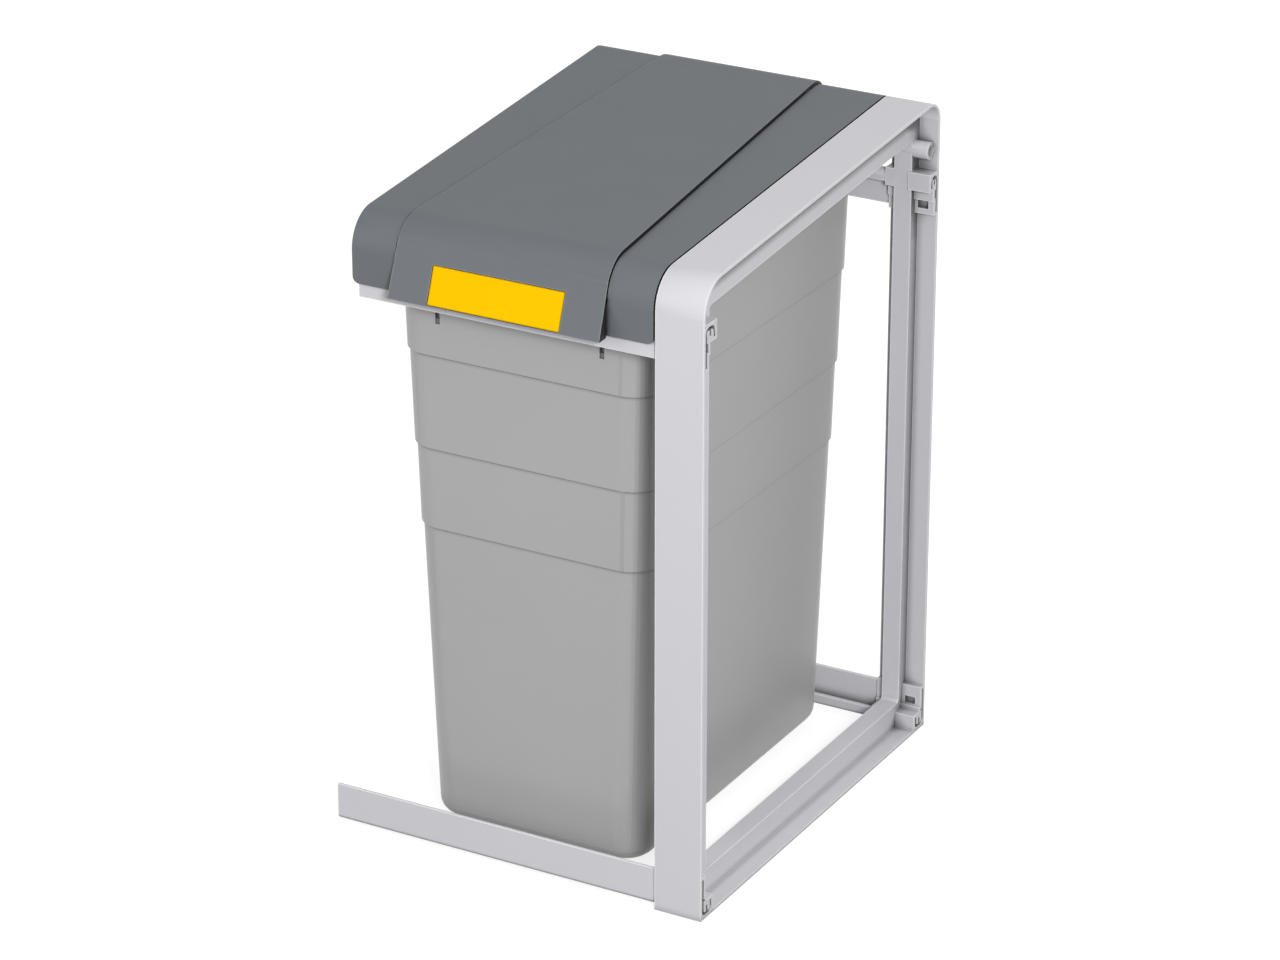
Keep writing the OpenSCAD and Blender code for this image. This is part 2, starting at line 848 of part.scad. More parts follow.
// Region under the flap's outer surface, moved in by d: down to the level base in front, and
// at the rear an arc about the pins, whose tail wraps round below them into the gutter
module flap_outline(d, base, wrap = tail_wrap) {
    corner_z = flap_corner_z(d);
    reach = 2 * tail_r;
    far_y = flap_axis_y + reach;
    difference() {
        rounded_outline(
            [
                [lip_y(base, d), base],
                [2 * front_r, base],
                [flap_axis_y, flap_axis_z],
                [far_y, flap_axis_z - reach * tan(wrap)],
                [far_y, top_z(far_y, d - flap_rise)],
                [lip_y(corner_z, d), corner_z]
            ],
            [0, 0, 0, 0, 0, front_r + flap_rise - d]
        );
        translate([flap_axis_y, flap_axis_z])
            difference() {
                polygon([
                    [0, 0],
                    2 * reach * [-sin(top_slope), cos(top_slope)],
                    [2 * reach, 2 * reach],
                    [2 * reach, -2 * reach],
                    [0, -2 * reach]
                ]);
                circle(tail_r - d + arc_over);
            }
    }
}

// Plan view of the flap, made wider by g on each side
module flap_plan(g = 0) {
    front_y = -lip_out - over;
    rear_y = frame_depth + flap_rise + over;
    translate([centre_x, 0])
        polygon([
            [-flap_half(front_y) - g, front_y],
            [flap_half(front_y) + g, front_y],
            [flap_half(rear_y) + g, rear_y],
            [-flap_half(rear_y) - g, rear_y]
        ]);
}

// Skirts along the flap's sides, down to just above the ledge
module flap_skirts() {
    intersection() {
        linear_extrude(2 * front_height)
            difference() {
                flap_plan();
                flap_plan(-skirt_t);
            }
        along_x(cover_left, cover_right)
            intersection() {
                cover_skin(-flap_rise + flap_t - joint, coaming_h - skirt_t - ledge_gap);
                rect([0, coaming_edge], [flap_axis_y - tail_r - tail_gap, 2 * front_height]);
            }
    }
}

// Cheeks that close the lip's sides, in front of the cover
module lip_cheeks() {
    intersection() {
        linear_extrude(2 * front_height)
            difference() {
                flap_plan();
                flap_plan(-skirt_t);
            }
        along_x(cover_left, cover_right)
            intersection() {
                flap_outline(joint, lip_edge);
                rect([-lip_out, lip_edge], [-cheek_gap, 2 * front_height]);
            }
    }
}

// Ear that hangs the flap on a pin
module flap_ear(side) {
    outer = centre_x + side * (flap_half(flap_axis_y) - skirt_t);
    inner = outer - side * ear_t;
    along_x(min(inner, outer), max(inner, outer)) {
        translate([flap_axis_y, flap_axis_z]) circle(ear_r);
        intersection() {
            rect([flap_axis_y - ear_r, flap_axis_z], [flap_axis_y + ear_r, 2 * front_height]);
            flap_outline(joint, lip_edge);
        }
    }
}

// Places a plate on the lip: X as usual, Y into the lip, Z up along it from its lower edge
module on_lip() {
    translate([centre_x, -lip_out, lip_edge])
        rotate([-lip_lean, 0, 0])
            children();
}

module flap() {
    color(cover_colour)
        placed()
            difference() {
                union() {
                    intersection() {
                        along_x(cover_left, cover_right)
                            difference() {
                                flap_outline(0, lip_edge);
                                flap_outline(flap_t, lip_edge - over, tail_wrap + hollow_wrap);
                            }
                        linear_extrude(2 * front_height) flap_plan();
                    }
                    flap_skirts();
                    lip_cheeks();
                    for (side = [-1, 1]) flap_ear(side);
                }
                on_lip()
                    box(
                        [-label_w / 2 - label_gap, -over, label_edge - label_gap],
                        [label_w / 2 + label_gap, label_recess, label_edge + label_h + label_gap]
                    );
                along_x(centre_x - flap_pin_end, centre_x + flap_pin_end)
                    translate([flap_axis_y, flap_axis_z]) circle(flap_pin_r + pin_fit);
            }
}

flap_pin_start = flap_half(flap_axis_y) - skirt_t - ear_t;
flap_pin_end = tail_half + skirt_t / 2 + ear_t;

module flap_pin(side) {
    near = centre_x + side * flap_pin_start;
    far = centre_x + side * flap_pin_end;
    color(pin_colour)
        placed()
            along_x(min(near, far), max(near, far))
                translate([flap_axis_y, flap_axis_z]) circle(flap_pin_r);
}

module right_flap_pin() {
    flap_pin(1);
}

module left_flap_pin() {
    flap_pin(-1);
}

module label_strip() {
    color(label_colour)
        placed()
            on_lip()
                box(
                    [-label_w / 2, label_recess - label_t, label_edge],
                    [label_w / 2, label_recess, label_edge + label_h]
                );
}

// Outline of the bucket at one level: level, half-width, front, rear and corner radius
function bucket_ring(z, half, front, rear, r) =
    let (centres = [[half - r, front + r], [half - r, rear - r], [r - half, rear - r], [r - half, front + r]])
        [
            for (k = [0 : 3])
                for (i = [0 : corner_steps])
                    let (a = 90 * (k - 1 + i / corner_steps))
                        [centre_x + centres[k].x + r * cos(a), centres[k].y + r * sin(a), z]
        ];

// Closed skin through a stack of rings with as many points each, lowest first
module loft(rings) {
    n = len(rings[0]);
    last = (len(rings) - 1) * n;
    polyhedron(
        points = [for (ring = rings) each ring],
        faces = concat(
            [[for (i = [0 : n - 1]) i]],
            [
                for (k = [0 : len(rings) - 2])
                    for (i = [0 : n - 1])
                        let (a = k * n + i, b = k * n + (i + 1) % n)
                            each [[a, a + n, b], [b, a + n, b + n]]
            ],
            [[for (i = [n - 1 : -1 : 0]) last + i]]
        )
    );
}

rim_z = bars_top + rim_seat;
slot_end = bars_top - slot_z;
ledges = [for (depth = [upper_ledge_z, middle_ledge_z, lower_ledge_z]) bars_top - depth];

// Half-width and inset of the front and rear at a height z, after a number of steps
function upper_half(z, steps) = bucket_w / 2 - (rim_z - z) * tan(side_lean) - steps * step_side;
function upper_inset(z, steps) = (rim_z - z) * tan(front_lean) + steps * step_front;

// One ring of the bucket in its upper tiers, t inside its outer face
function tier_ring(z, steps, t) = bucket_ring(
    z,
    upper_half(z, steps) - t,
    bucket_front + upper_inset(z, steps) + t,
    frame_depth - bucket_rear - upper_inset(z, steps) - t,
    bucket_r - t
);

bottom_front = (bucket_front + frame_depth - bucket_rear - bottom_d) / 2;

// One ring of the bucket's rounded bottom edge, at an angle from the floor
function edge_ring(angle, t) = let (r = bottom_r - t, inset = t + r * (1 - sin(angle)))
    bucket_ring(
        bucket_z + t + r * (1 - cos(angle)),
        bottom_w / 2 - inset,
        bottom_front + inset,
        bottom_front + bottom_d - inset,
        bucket_r - inset
    );

// The bucket's body as a solid, t inside its outer face, up to a level top
module bucket_solid(t, top) {
    loft(concat(
        [for (i = [0 : edge_steps]) edge_ring(90 * i / edge_steps, t)],
        [
            tier_ring(ledges[2] + t, 3, t),
            tier_ring(ledges[2] + t, 2, t),
            tier_ring(ledges[1] + t, 2, t),
            tier_ring(ledges[1] + t, 1, t),
            tier_ring(ledges[0] + t, 1, t),
            tier_ring(ledges[0] + t, 0, t),
            tier_ring(top, 0, t)
        ]
    ));
}

rim_half = cover_w / 2 - cover_t - rim_gap;

// Plan view of a rectangle with round corners
module rounded_plan(half, front, rear, r) {
    translate([centre_x, 0]) {
        rect([-half + r, front], [half - r, rear]);
        rect([-half, front + r], [half, rear - r]);
        for (x = [-half + r, half - r])
            for (y = [front + r, rear - r])
                translate([x, y]) circle(r);
    }
}

module bucket() {
    color(bucket_colour)
        placed()
            difference() {
                union() {
                    bucket_solid(0, rim_z + rim_t + bead_h);
                    translate([0, 0, rim_z])
                        linear_extrude(rim_t)
                            rounded_plan(rim_half, rim_front, frame_depth - rim_rear, bucket_r);
                }
                bucket_solid(bucket_t, rim_z + rim_t + bead_h + over);
                for (side = [-1, 1])
                    box(
                        [centre_x + side * slot_offset - slot_w / 2, 0, slot_end],
                        [
                            centre_x + side * slot_offset + slot_w / 2,
                            bucket_front + bucket_r,
                            slot_end + slot_len
                        ]
                    );
            }
}

module bag_clamp_frame() {
    bead_top = rim_z + rim_t + bead_h;
    foot_z = bead_top - clamp_h;
    half = upper_half(foot_z, 0) - bucket_t - clamp_gap;
    front = bucket_front + upper_inset(foot_z, 0) + bucket_t + clamp_gap;
    rear = frame_depth - bucket_rear - upper_inset(foot_z, 0) - bucket_t - clamp_gap;
    r = bucket_r - bucket_t - clamp_gap;
    seat_z = bead_top + rim_seat;
    tip_z = slot_end + tongue_gap;
    hook_y = bucket_front + upper_inset(tip_z, 0) + hook_recess;
    color(bucket_colour)
        placed() {
            difference() {
                union() {
                    translate([0, 0, foot_z])
                        linear_extrude(seat_z - foot_z + clamp_t)
                            rounded_plan(half, front, rear, r);
                    translate([0, 0, seat_z])
                        linear_extrude(clamp_t)
                            rounded_plan(
                                half + clamp_flange, front - clamp_flange,
                                rear + clamp_flange, r + clamp_flange
                            );
                }
                translate([0, 0, foot_z - over])
                    linear_extrude(clamp_h + clamp_t + 3 * over)
                        rounded_plan(
                            half - clamp_t, front + clamp_t, rear - clamp_t, r - clamp_t
                        );
            }
            for (side = [-1, 1]) {
                x = centre_x + side * slot_offset;
                box([x - tongue_w / 2, front, tip_z], [x + tongue_w / 2, front + clamp_t, foot_z + over]);
                box(
                    [x - tongue_w / 2, hook_y, tip_z],
                    [x + tongue_w / 2, front + joint, tip_z + hook_h]
                );
            }
        }
}

module cover_buffers() {
    color(rubber_colour)
        placed()
            for (x = [cover_left + landing_w - buffer_r, cover_right - landing_w + buffer_r])
                translate([x, landing_y, bars_top + buffer_gap])
                    cylinder(r = buffer_r, h = buffer_h);
}

side_frame();
front_lower_crossbar();
rear_lower_crossbar();
front_upper_crossbar();
rear_upper_crossbar();
cover();
right_cover_pin();
left_cover_pin();
flap();
right_flap_pin();
left_flap_pin();
label_strip();
bucket();
bag_clamp_frame();
cover_buffers();
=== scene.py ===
"""Looks of a waste sorting module: side frame, crossbars, cover, flap, bucket and bag clamp."""

import logging
import math
from dataclasses import dataclass
from enum import Enum
from typing import Callable, Sequence

import bmesh
import bpy
from mathutils import Euler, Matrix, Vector

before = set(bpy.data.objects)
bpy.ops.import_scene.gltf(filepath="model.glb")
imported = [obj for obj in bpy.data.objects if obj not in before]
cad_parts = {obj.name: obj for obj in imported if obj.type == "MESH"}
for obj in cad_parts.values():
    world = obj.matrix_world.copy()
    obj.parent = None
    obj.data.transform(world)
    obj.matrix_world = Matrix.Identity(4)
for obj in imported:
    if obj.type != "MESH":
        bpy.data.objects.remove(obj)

logging.basicConfig(level=logging.INFO, format="%(message)s")
LOG = logging.getLogger("module")

MM = 0.001

# Painted edge highlight and shadow line: where the edge tone starts and where it is full.
EDGE_TONE_START, EDGE_TONE_FULL = 0.962, 0.92
# Painted shade under overhangs: where it starts and where it is full.
OVERHANG_SHADE_START, OVERHANG_SHADE_FULL = 0.48, 0.24
LEANS_RIGHT = 0.6
LOOK_SAMPLES = 8
DRIFT_SCALE = 26.0
BUMP_DEPTH = 0.2 * MM
WELD_GAP = 2e-6
FLAT_ANGLE = 0.6
EDGE_SEGMENTS = 2
EDGE_ANGLE = 35.0
WHITE = (1.0, 1.0, 1.0, 1.0)

Tone = tuple[float, float, float]


class Grain(Enum):
    """How the mould's wall or the drawing die leaves a surface."""

    SATIN = "satin"
    SPARK = "spark"
    SMOOTH = "smooth"


def combine(
    nodes: bpy.types.Nodes,
    links: bpy.types.NodeLinks,
    way: str,
    first: bpy.types.NodeSocket,
    second: bpy.types.NodeSocket | float,
) -> bpy.types.NodeSocket:
    """Combines a socket with a number or with another socket.

    Args:
        nodes: The tree's nodes.
        links: The tree's links.
        way: The math node's operation.
        first: The first value.
        second: The second value.

    Returns:
        The socket with the result.
    """
    node = nodes.new("ShaderNodeMath")
    node.operation = way
    links.new(first, node.inputs[0])
    if isinstance(second, float):
        node.inputs[1].default_value = second
    else:
        links.new(second, node.inputs[1])
    return node.outputs[0]


def blend(
    nodes: bpy.types.Nodes,
    links: bpy.types.NodeLinks,
    mask: bpy.types.NodeSocket,
    below: bpy.types.NodeSocket,
    above: bpy.types.NodeSocket | Tone,
) -> bpy.types.NodeSocket:
    """Lays one colour over another by a mask.

    Args:
        nodes: The tree's nodes.
        links: The tree's links.
        mask: Share of the upper colour.
        below: The lower colour.
        above: The upper colour.

    Returns:
        The socket with the result.
    """
    mix = nodes.new("ShaderNodeMix")
    mix.data_type = "RGBA"
    links.new(mask, mix.inputs["Factor"])
    links.new(below, mix.inputs["A"])
    if isinstance(above, tuple):
        mix.inputs["B"].default_value = (*above, 1.0)
    else:
        links.new(above, mix.inputs["B"])
    return mix.outputs["Result"]


class GroupKit:
    """Shader node groups that several finishes share, each built once."""

    def __init__(self) -> None:
        """Starts with no group built."""
        self.built: dict[str, bpy.types.NodeTree] = {}

    def new_tree(
        self,
        name: str,
        inputs: Sequence[tuple[str, str, object]],
        outputs: Sequence[tuple[str, str]],
    ) -> tuple[bpy.types.NodeTree, bpy.types.Node, bpy.types.Node]:
        """Makes an empty group with named sockets.

        Args:
            name: The group's name.
            inputs: Name, socket type and default of each input.
            outputs: Name and socket type of each output.

        Returns:
            The tree, its input node and its output node.
        """
        tree = bpy.data.node_groups.new(name, "ShaderNodeTree")
        for label, kind, value in inputs:
            socket = tree.interface.new_socket(label, in_out="INPUT", socket_type=kind)
            if value is not None:
                socket.default_value = value
        for label, kind in outputs:
            tree.interface.new_socket(label, in_out="OUTPUT", socket_type=kind)
        start = tree.nodes.new("NodeGroupInput")
        end = tree.nodes.new("NodeGroupOutput")
        return tree, start, end

    def get(self, name: str, make: Callable[[], bpy.types.NodeTree]) -> bpy.types.NodeTree:
        """Finds a group by its name, and makes it the first time.

        Args:
            name: The group's name.
            make: Builds the group.

        Returns:
            The group.
        """
        if name not in self.built:
            self.built[name] = make()
        return self.built[name]

    def tint_drift(self) -> bpy.types.NodeTree:
        """Group that lets a base colour drift a little over the surface."""
        return self.get("tint_drift", self._make_tint_drift)

    def edge_light_and_shade(self) -> bpy.types.NodeTree:
        """Group that lays a tone along the edges: a painted highlight where the tone is
        lighter, a painted shadow line where it is darker.
        """
        return self.get("edge_light_and_shade", self._make_edge_light_and_shade)

    def crevice_shade(self) -> bpy.types.NodeTree:
        """Group that paints shade in inner corners, in gaps and next to other parts: a darker
        colour where little light gets in.
        """
        return self.get("crevice_shade", self._make_crevice_shade)

    def overhang_shade(self) -> bpy.types.NodeTree:
        """Group that paints shade on the walls that turn right and stand under a ledge of their
        own, as if light fell from above.
        """
        return self.get("overhang_shade", self._make_overhang_shade)

    def grain(self, kind: Grain) -> bpy.types.NodeTree:
        """Group that gives the height of one kind of grain and its roughness drift."""
        return self.get(f"{kind.value}_grain", lambda: self._make_grain(kind))

    def draw_lines(self) -> bpy.types.NodeTree:
        """Group that gives long fine lines along one axis, as a drawing die leaves them."""
        return self.get("draw_lines", self._make_draw_lines)

    @staticmethod
    def _lay(
        tree: bpy.types.NodeTree,
        mask: bpy.types.NodeSocket,
        tone: str,
        start: bpy.types.Node,
        end: bpy.types.Node,
    ) -> None:
        """Ends a group by laying its tone over its colour, by the mask times its amount.

        Args:
            tree: The group.
            mask: Where the tone goes.
            tone: The name of the input with the tone.
            start: The group's input node.
            end: Its output node.
        """
        nodes, links = tree.nodes, tree.links
        share = combine(nodes, links, "MULTIPLY", mask, start.outputs["Amount"])
        mixed = blend(nodes, links, share, start.outputs["Color"], start.outputs[tone])
        links.new(mixed, end.inputs["Color"])

    def _make_tint_drift(self) -> bpy.types.NodeTree:
        """Builds the tint_drift group.

        Returns:
            The group.
        """
        tree, start, end = self.new_tree(
            "tint_drift",
            [
                ("Vector", "NodeSocketVector", None),
                ("Color", "NodeSocketColor", (0.5, 0.5, 0.5, 1.0)),
                ("Scale", "NodeSocketFloat", 14.0),
                ("Amount", "NodeSocketFloat", 0.05),
            ],
            [("Color", "NodeSocketColor")],
        )
        noise = tree.nodes.new("ShaderNodeTexNoise")
        noise.inputs["Detail"].default_value = 3.0
        tree.links.new(start.outputs["Vector"], noise.inputs["Vector"])
        tree.links.new(start.outputs["Scale"], noise.inputs["Scale"])
        shift = combine(tree.nodes, tree.links, "SUBTRACT", noise.outputs["Fac"], 0.5)
        amount = tree.nodes.new("ShaderNodeMath")
        amount.operation = "MULTIPLY_ADD"
        amount.inputs[2].default_value = 1.0
        tree.links.new(shift, amount.inputs[0])
        tree.links.new(start.outputs["Amount"], amount.inputs[1])
        tint = tree.nodes.new("ShaderNodeVectorMath")
        tint.operation = "SCALE"
        tree.links.new(start.outputs["Color"], tint.inputs[0])
        tree.links.new(amount.outputs[0], tint.inputs["Scale"])
        tree.links.new(tint.outputs[0], end.inputs["Color"])
        return tree

    def _make_edge_light_and_shade(self) -> bpy.types.NodeTree:
        """Builds the edge_light_and_shade group.

        Returns:
            The group.
        """
        tree, start, end = self.new_tree(
            "edge_light_and_shade",
            [
                ("Color", "NodeSocketColor", (0.5, 0.5, 0.5, 1.0)),
                ("Edge Tone", "NodeSocketColor", (0.7, 0.7, 0.7, 1.0)),
                ("Amount", "NodeSocketFloat", 0.3),
                ("Width", "NodeSocketFloat", 0.8 * MM),
            ],
            [("Color", "NodeSocketColor")],
        )
        bevel = tree.nodes.new("ShaderNodeBevel")
        bevel.samples = 4
        tree.links.new(start.outputs["Width"], bevel.inputs["Radius"])
        geometry = tree.nodes.new("ShaderNodeNewGeometry")
        dot = tree.nodes.new("ShaderNodeVectorMath")
        dot.operation = "DOT_PRODUCT"
        tree.links.new(bevel.outputs["Normal"], dot.inputs[0])
        tree.links.new(geometry.outputs["Normal"], dot.inputs[1])
        spread = tree.nodes.new("ShaderNodeMapRange")
        spread.inputs["From Min"].default_value = EDGE_TONE_START
        spread.inputs["From Max"].default_value = EDGE_TONE_FULL
        tree.links.new(dot.outputs["Value"], spread.inputs["Value"])
        self._lay(tree, spread.outputs["Result"], "Edge Tone", start, end)
        return tree

    def _make_crevice_shade(self) -> bpy.types.NodeTree:
        """Builds the crevice group.

        Returns:
            The group.
        """
        tree, start, end = self.new_tree(
            "crevice_shade",
            [
                ("Color", "NodeSocketColor", (0.5, 0.5, 0.5, 1.0)),
                ("Depth", "NodeSocketColor", (0.1, 0.1, 0.1, 1.0)),
                ("Reach", "NodeSocketFloat", 3.0 * MM),
                ("Start", "NodeSocketFloat", 0.95),
                ("Full", "NodeSocketFloat", 0.4),
                ("Amount", "NodeSocketFloat", 0.5),
            ],
            [("Color", "NodeSocketColor")],
        )
        inner = tree.nodes.new("ShaderNodeAmbientOcclusion")
        inner.samples = LOOK_SAMPLES
        tree.links.new(start.outputs["Reach"], inner.inputs["Distance"])
        spread = tree.nodes.new("ShaderNodeMapRange")
        tree.links.new(start.outputs["Start"], spread.inputs["From Min"])
        tree.links.new(start.outputs["Full"], spread.inputs["From Max"])
        tree.links.new(inner.outputs["AO"], spread.inputs["Value"])
        self._lay(tree, spread.outputs["Result"], "Depth", start, end)
        return tree

    def _make_overhang_shade(self) -> bpy.types.NodeTree:
        """Builds the overhang group.

        Returns:
            The group.
        """
        tree, start, end = self.new_tree(
            "overhang_shade",
            [
                ("Color", "NodeSocketColor", (0.5, 0.5, 0.5, 1.0)),
                ("Depth", "NodeSocketColor", (0.1, 0.1, 0.1, 1.0)),
                ("Reach", "NodeSocketFloat", 30.0 * MM),
                ("Amount", "NodeSocketFloat", 0.8),
            ],
            [("Color", "NodeSocketColor")],
        )
        above = tree.nodes.new("ShaderNodeAmbientOcclusion")
        above.samples = LOOK_SAMPLES
        upward = tree.nodes.new("ShaderNodeCombineXYZ")
        upward.inputs["Z"].default_value = 1.0
        tree.links.new(upward.outputs[0], above.inputs["Normal"])
        tree.links.new(start.outputs["Reach"], above.inputs["Distance"])
        spread = tree.nodes.new("ShaderNodeMapRange")
        spread.inputs["From Min"].default_value = OVERHANG_SHADE_START
        spread.inputs["From Max"].default_value = OVERHANG_SHADE_FULL
        tree.links.new(above.outputs["AO"], spread.inputs["Value"])
        facing = tree.nodes.new("ShaderNodeNewGeometry")
        turn = tree.nodes.new("ShaderNodeSeparateXYZ")
        tree.links.new(facing.outputs["True Normal"], turn.inputs[0])
        right = combine(
            tree.nodes, tree.links, "GREATER_THAN", turn.outputs["X"], LEANS_RIGHT
        )
        part = combine(tree.nodes, tree.links, "MULTIPLY", spread.outputs["Result"], right)
        self._lay(tree, part, "Depth", start, end)
        return tree

    def _make_grain(self, kind: Grain) -> bpy.types.NodeTree:
        """Builds the group of one kind of grain.

        Args:
            kind: Spark pits, satin scuffs or the faint waves of a polished mould.

        Returns:
            The group.
        """
        tree, start, end = self.new_tree(
            f"{kind.value}_grain",
            [
                ("Vector", "NodeSocketVector", None),
                ("Scale", "NodeSocketFloat", 1800.0),
                ("Roughness", "NodeSocketFloat", 0.5),
                ("Drift", "NodeSocketFloat", 0.08),
            ],
            [("Height", "NodeSocketFloat"), ("Roughness", "NodeSocketFloat")],
        )
        fine = tree.nodes.new("ShaderNodeTexNoise")
        fine.inputs["Detail"].default_value = 0.0 if kind is Grain.SMOOTH else 2.0
        fine.inputs["Roughness"].default_value = 0.6
        tree.links.new(start.outputs["Vector"], fine.inputs["Vector"])
        tree.links.new(start.outputs["Scale"], fine.inputs["Scale"])
        if kind is Grain.SPARK:
            pits = tree.nodes.new("ShaderNodeTexVoronoi")
            tree.links.new(start.outputs["Vector"], pits.inputs["Vector"])
            tree.links.new(start.outputs["Scale"], pits.inputs["Scale"])
            both = tree.nodes.new("ShaderNodeMath")
            both.operation = "MULTIPLY_ADD"
            both.inputs[1].default_value = 0.5
            tree.links.new(pits.outputs["Distance"], both.inputs[0])
            tree.links.new(fine.outputs["Fac"], both.inputs[2])
            tree.links.new(both.outputs[0], end.inputs["Height"])
        else:
            tree.links.new(fine.outputs["Fac"], end.inputs["Height"])
        broad = tree.nodes.new("ShaderNodeTexNoise")
        broad.inputs["Scale"].default_value = DRIFT_SCALE
        broad.inputs["Detail"].default_value = 3.0
        tree.links.new(start.outputs["Vector"], broad.inputs["Vector"])
        shift = combine(tree.nodes, tree.links, "SUBTRACT", broad.outputs["Fac"], 0.5)
        rough = tree.nodes.new("ShaderNodeMath")
        rough.operation = "MULTIPLY_ADD"
        rough.use_clamp = True
        tree.links.new(shift, rough.inputs[0])
        tree.links.new(start.outputs["Drift"], rough.inputs[1])
        tree.links.new(start.outputs["Roughness"], rough.inputs[2])
        tree.links.new(rough.outputs[0], end.inputs["Roughness"])
        return tree

    def _make_draw_lines(self) -> bpy.types.NodeTree:
        """Builds the draw_lines group.

        Returns:
            The group.
        """
        tree, start, end = self.new_tree(
            "draw_lines",
            [
                ("Vector", "NodeSocketVector", None),
                ("Stretch", "NodeSocketVector", (1.0, 1.0, 0.02)),
                ("Scale", "NodeSocketFloat", 900.0),
            ],
            [("Height", "NodeSocketFloat")],
        )
        stretch = tree.nodes.new("ShaderNodeVectorMath")
        stretch.operation = "MULTIPLY"
        tree.links.new(start.outputs["Vector"], stretch.inputs[0])
        tree.links.new(start.outputs["Stretch"], stretch.inputs[1])
        lines = tree.nodes.new("ShaderNodeTexNoise")
        lines.inputs["Detail"].default_value = 2.0
        tree.links.new(stretch.outputs[0], lines.inputs["Vector"])
        tree.links.new(start.outputs["Scale"], lines.inputs["Scale"])
        tree.links.new(lines.outputs["Fac"], end.inputs["Height"])
        return tree


GROUPS = GroupKit()


@dataclass(frozen=True)
class SideShade:
    """Painted shade: a dark tone on the walls that turn to one side of a node and stand in a
    narrow gap.

    A wall takes the tone where its normal leans to that side by more than lean, where it
    lies further to that side than beyond, and where it lies in front of front_y. The side is
    1 for right and -1 for left, and beyond is measured towards it.
    """

    tone: Tone
    side: float
    beyond: float
    lean: float = 0.6
    front_y: float = 10.0

    def link(
        self,
        nodes: bpy.types.Nodes,
        links: bpy.types.NodeLinks,
        place: bpy.types.Node,
        colour: bpy.types.NodeSocket,
    ) -> bpy.types.NodeSocket:
        """Adds the painted shade to a material.

        Args:
            nodes: The material's nodes.
            links: The material's links.
            place: Its texture coordinates.
            colour: The colour so far.

        Returns:
            The colour with the painted shade on those walls.
        """
        split = nodes.new("ShaderNodeSeparateXYZ")
        links.new(place.outputs["Object"], split.inputs[0])
        facing = nodes.new("ShaderNodeNewGeometry")
        turn = nodes.new("ShaderNodeSeparateXYZ")
        links.new(facing.outputs["True Normal"], turn.inputs[0])
        tests = (
            ("GREATER_THAN", turn.outputs["X"], self.side, self.lean),
            ("GREATER_THAN", split.outputs["X"], self.side, self.beyond),
            ("LESS_THAN", split.outputs["Y"], 1.0, self.front_y),
        )
        leaning, out, ahead = (
            combine(nodes, links, way, combine(nodes, links, "MULTIPLY", value, sign), limit)
            for way, value, sign, limit in tests
        )
        both = combine(nodes, links, "MULTIPLY", leaning, out)
        mask = combine(nodes, links, "MULTIPLY", both, ahead)
        return blend(nodes, links, mask, colour, self.tone)


